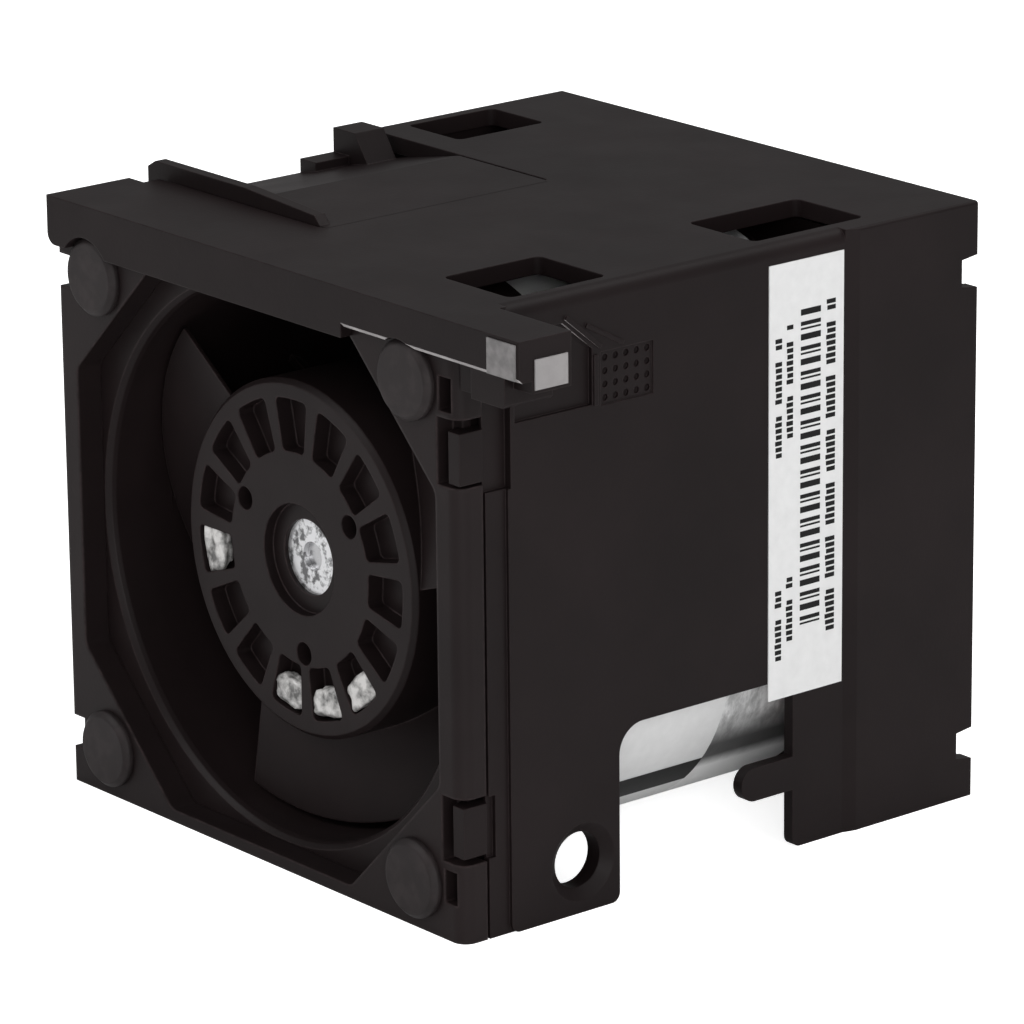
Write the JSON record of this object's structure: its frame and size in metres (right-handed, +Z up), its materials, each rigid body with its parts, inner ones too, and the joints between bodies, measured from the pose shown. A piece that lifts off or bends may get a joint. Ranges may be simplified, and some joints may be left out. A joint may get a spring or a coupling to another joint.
{
  "type": "server fan module",
  "caption": "Hot-swap server cooling fan: a two-stage axial fan held by rubber pins in a black moulded carrier with a finger tab, a sprung release latch and a plug-in connector.",
  "frame": {"origin": "middle of the bezel's foot rail, on the plane that the module stands on", "axes": "+Z up, +Y along the air flow from the intake to the outlet, +X to the right seen from the intake, towards the finger tab"},
  "size_m": [0.0744, 0.0678, 0.0642],
  "materials": {
    "carrier_plastic": "fine moulded texture",
    "touch_plastic": "satin grey",
    "fan_plastic": "satin",
    "pin_rubber": "satin",
    "lead_sleeve": "satin",
    "connector_plastic": "satin",
    "contact_metal": "bright",
    "label_paper": "satin paper",
    "foil": "satin foil",
    "putty": "silvery putty",
    "yoke_steel": "plain",
    "magnet": "dull",
    "bushing_steel": "bright",
    "shaft_steel": "ground",
    "tube_brass": "turned",
    "bearing_steel": "polished",
    "core_steel": "stacked sheet",
    "winding_copper": "enamelled copper",
    "bobbin_plastic": "satin",
    "board": "satin"
  },
  "bodies": {
    "module": {"carrier": "carrier_plastic", "front_bezel": "carrier_plastic", "touch_point": "touch_plastic", "front_fan_housing": "fan_plastic", "rear_fan_housing": "fan_plastic", "front_rubber_pins": "pin_rubber", "rear_rubber_pins": "pin_rubber", "fan_leads": "lead_sleeve", "connector_housing": "connector_plastic", "connector_contacts": "contact_metal", "side_label": "label_paper", "rating_label": "label_paper", "foil_band": "foil", "front_bearing_tube": "tube_brass", "front_outer_bearing_rings": "bearing_steel", "front_preload_washer": "shaft_steel", "front_stator_core": "core_steel", "front_windings": "winding_copper", "front_winding_bobbins": "bobbin_plastic", "front_circuit_board": "board", "rear_bearing_tube": "tube_brass", "rear_outer_bearing_rings": "bearing_steel", "rear_preload_washer": "shaft_steel", "rear_stator_core": "core_steel", "rear_windings": "winding_copper", "rear_winding_bobbins": "bobbin_plastic", "rear_circuit_board": "board"},
    "front_rotor": {"balance_putty": "putty", "front_impeller": "fan_plastic", "front_rotor_yoke": "yoke_steel", "front_magnet_ring": "magnet", "front_hub_bushing": "bushing_steel", "front_shaft": "shaft_steel", "front_retaining_clip": "shaft_steel", "front_inner_bearing_rings": "bearing_steel", "front_bearing_balls": "bearing_steel"},
    "rear_rotor": {"rear_impeller": "fan_plastic", "rear_rotor_yoke": "yoke_steel", "rear_magnet_ring": "magnet", "rear_hub_bushing": "bushing_steel", "rear_shaft": "shaft_steel", "rear_retaining_clip": "shaft_steel", "rear_inner_bearing_rings": "bearing_steel", "rear_bearing_balls": "bearing_steel"},
    "latch": {"release_latch": "carrier_plastic"}
  },
  "joints": [
    {"name": "front_rotor_spin", "type": "hinge", "parent": "module", "child": "front_rotor", "pos_m": [0, 0.03, 0.0301], "axis": [0, 1, 0], "continuous": true},
    {"name": "rear_rotor_spin", "type": "hinge", "parent": "module", "child": "rear_rotor", "pos_m": [0, 0.03, 0.0301], "axis": [0, 1, 0], "continuous": true},
    {"name": "latch_flex", "type": "hinge", "parent": "module", "child": "latch", "pos_m": [-0.0022, 0.024, 0.0618], "axis": [0, 1, 0], "range_deg": [-4, 0], "stiffness_Nm_per_rad": 0.8}
  ]
}
